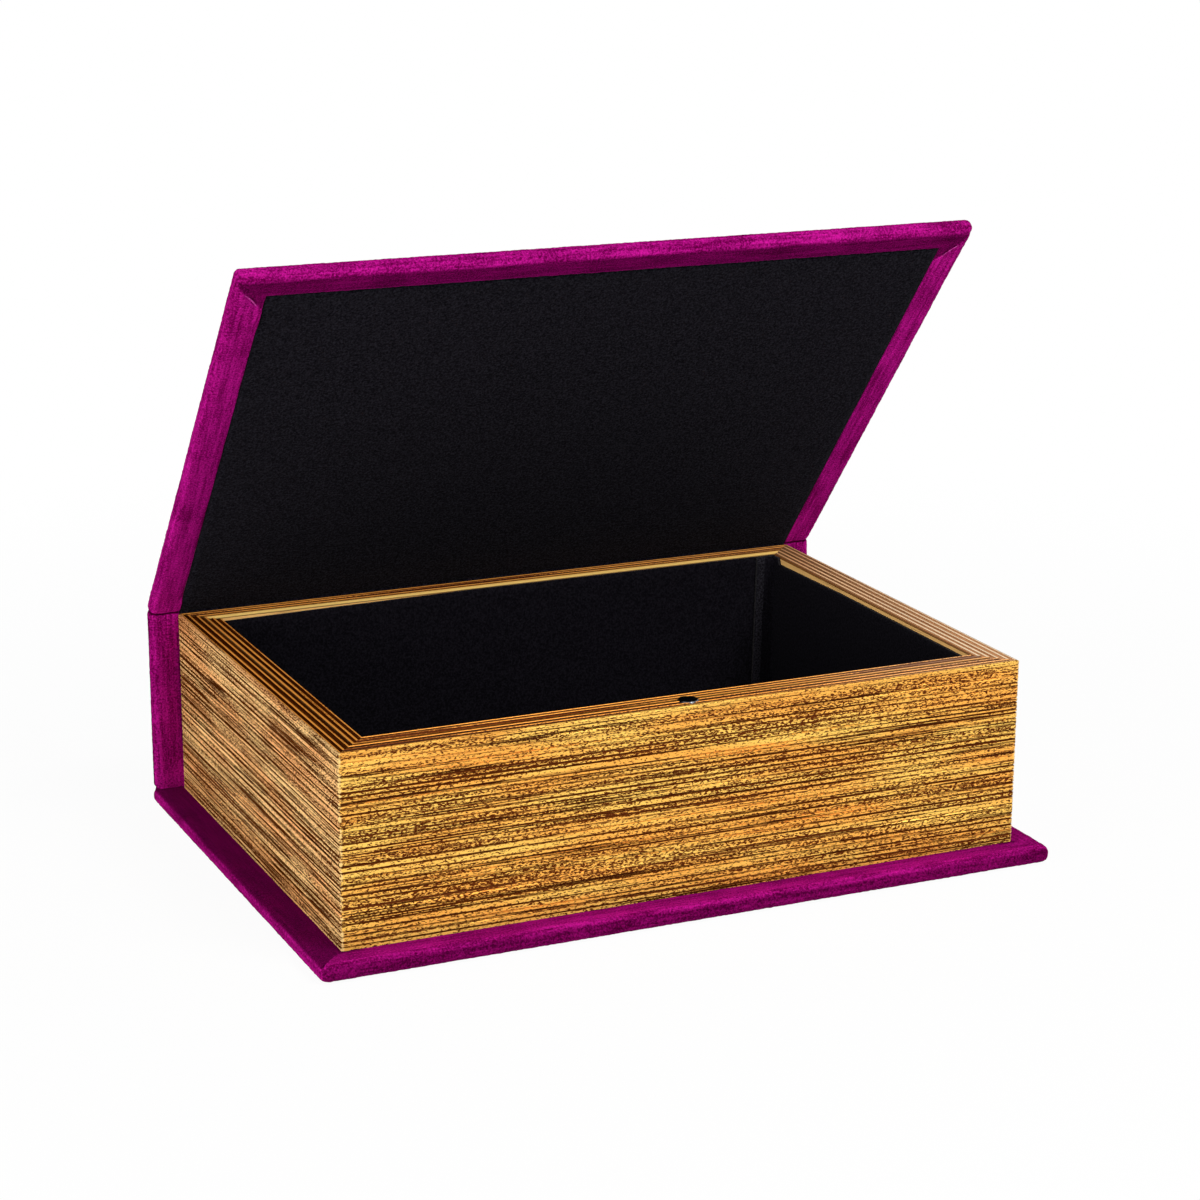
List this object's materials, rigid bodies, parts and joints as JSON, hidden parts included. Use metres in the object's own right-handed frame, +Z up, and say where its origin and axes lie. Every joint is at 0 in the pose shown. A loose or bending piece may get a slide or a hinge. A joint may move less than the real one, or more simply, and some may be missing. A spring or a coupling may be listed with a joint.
{
  "type": "book-shaped trinket box",
  "caption": "Keepsake box shaped like a thick bound book: velvet covered case with a cloth-hinged lid, gilt page-edge walls round a felt-lined well, magnetic closure.",
  "frame": {"origin": "on the table, under the middle of the back cover", "axes": "+X along the spine and the hinge, to the right as seen from the front; +Y from the front edge with the magnet towards the spine; +Z up"},
  "size_m": [0.26, 0.1808, 0.2083],
  "materials": {
    "velvet": "short pile velvet",
    "black_felt": "matt felt",
    "gilt_wood": "grooved, gilded and rubbed with brown",
    "board": "plain fibreboard",
    "magnet_steel": "nickel plated"
  },
  "bodies": {
    "box": {"base_velvet": "velvet", "base_board": "board", "spine_velvet": "velvet", "spine_board": "board", "hinge_velvet": "velvet", "hinge_lining": "black_felt", "front_wall": "gilt_wood", "back_wall": "gilt_wood", "right_wall": "gilt_wood", "left_wall": "gilt_wood", "rim_magnet": "magnet_steel", "tray_floor": "board", "front_felt": "black_felt", "back_felt": "black_felt", "left_felt": "black_felt", "right_felt": "black_felt", "floor_felt": "black_felt"},
    "lid": {"lid_velvet": "velvet", "lid_board": "board", "lid_keeper": "magnet_steel", "lid_lining": "black_felt"}
  },
  "joints": [
    {"name": "lid_hinge", "type": "hinge", "parent": "box", "child": "lid", "pos_m": [0, 0.08445, 0.07045], "axis": [-1, 0, 0], "range_deg": [-50.6, 69.4], "deforming": ["hinge_velvet", "hinge_lining"]}
  ]
}
